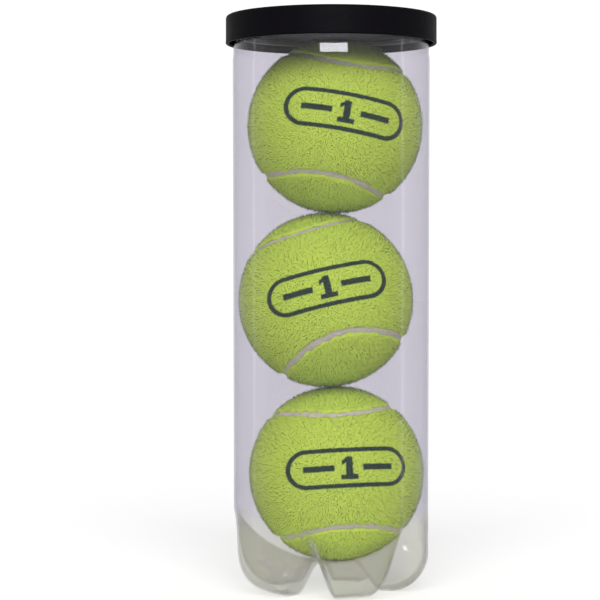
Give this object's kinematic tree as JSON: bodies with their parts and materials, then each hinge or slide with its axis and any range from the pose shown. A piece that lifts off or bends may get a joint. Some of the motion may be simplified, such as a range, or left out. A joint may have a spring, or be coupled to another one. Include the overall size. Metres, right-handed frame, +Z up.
{
  "type": "tennis ball can",
  "caption": "Clear pressurised can with a petal base, holding a stack of tennis balls under a ring-pull metal end and a push-on cap.",
  "frame": {"origin": "on the can's axis, at the level of the surface that its feet stand on", "axes": "+Z up along the can's axis, +X through the middle of one foot; the front of the can faces -Y"},
  "size_m": [0.0808, 0.0809, 0.22],
  "materials": {
    "clear_plastic": "clear blown plastic, faintly grey, glossy",
    "end_ring_aluminium": "bright rolled sheet, lacquered",
    "seam_compound_rubber": "tan sealing compound",
    "tear_panel_aluminium": "bright rolled sheet, lacquered",
    "tab_tongue_aluminium": "bright rolled sheet",
    "pull_tab_aluminium": "bright, with curled edges",
    "cap_plastic": "black soft plastic, satin with fine scuffs",
    "core_rubber": "moulded natural rubber",
    "core_cement": "rubber cement line",
    "ball_felt": "brushed optic yellow felt",
    "ball_seam_rubber": "grey-beige seam rubber"
  },
  "bodies": {
    "can": {"can_body": "clear_plastic", "end_ring": "end_ring_aluminium", "seam_compound": "seam_compound_rubber"},
    "bottom_ball": {"ball_bottom_core_half_a": "core_rubber", "ball_bottom_core_half_b": "core_rubber", "ball_bottom_core_cement": "core_cement", "ball_bottom_felt_panel_a": "ball_felt", "ball_bottom_felt_panel_b": "ball_felt", "ball_bottom_seam": "ball_seam_rubber"},
    "middle_ball": {"ball_middle_core_half_a": "core_rubber", "ball_middle_core_half_b": "core_rubber", "ball_middle_core_cement": "core_cement", "ball_middle_felt_panel_a": "ball_felt", "ball_middle_felt_panel_b": "ball_felt", "ball_middle_seam": "ball_seam_rubber"},
    "top_ball": {"ball_top_core_half_a": "core_rubber", "ball_top_core_half_b": "core_rubber", "ball_top_core_cement": "core_cement", "ball_top_felt_panel_a": "ball_felt", "ball_top_felt_panel_b": "ball_felt", "ball_top_seam": "ball_seam_rubber"},
    "torn_panel": {"tear_panel": "tear_panel_aluminium", "tab_tongue": "tab_tongue_aluminium"},
    "ring_pull": {"pull_tab": "pull_tab_aluminium"},
    "lid": {"cap": "cap_plastic"}
  },
  "joints": [
    {"name": "bottom_ball_out", "type": "slide", "parent": "can", "child": "bottom_ball", "axis": [0, 0, 1], "range_m": [0, 0.21]},
    {"name": "middle_ball_out", "type": "slide", "parent": "bottom_ball", "child": "middle_ball", "axis": [0, 0, 1], "range_m": [0, 0.143]},
    {"name": "top_ball_out", "type": "slide", "parent": "middle_ball", "child": "top_ball", "axis": [0, 0, 1], "range_m": [0, 0.076]},
    {"name": "panel_off", "type": "slide", "parent": "top_ball", "child": "torn_panel", "axis": [0, 0, 1], "range_m": [0, 0.03]},
    {"name": "cap_off", "type": "slide", "parent": "torn_panel", "child": "lid", "axis": [0, 0, 1], "range_m": [0, 0.04]},
    {"name": "ring_lift", "type": "hinge", "parent": "torn_panel", "child": "ring_pull", "pos_m": [-0.029, 0, 0.21467], "axis": [0, -1, 0], "range_deg": [0, 80]}
  ],
  "couplings": [
    {"joint": "ring_lift", "follows": "cap_off", "rad_per_m": 34.9}
  ]
}
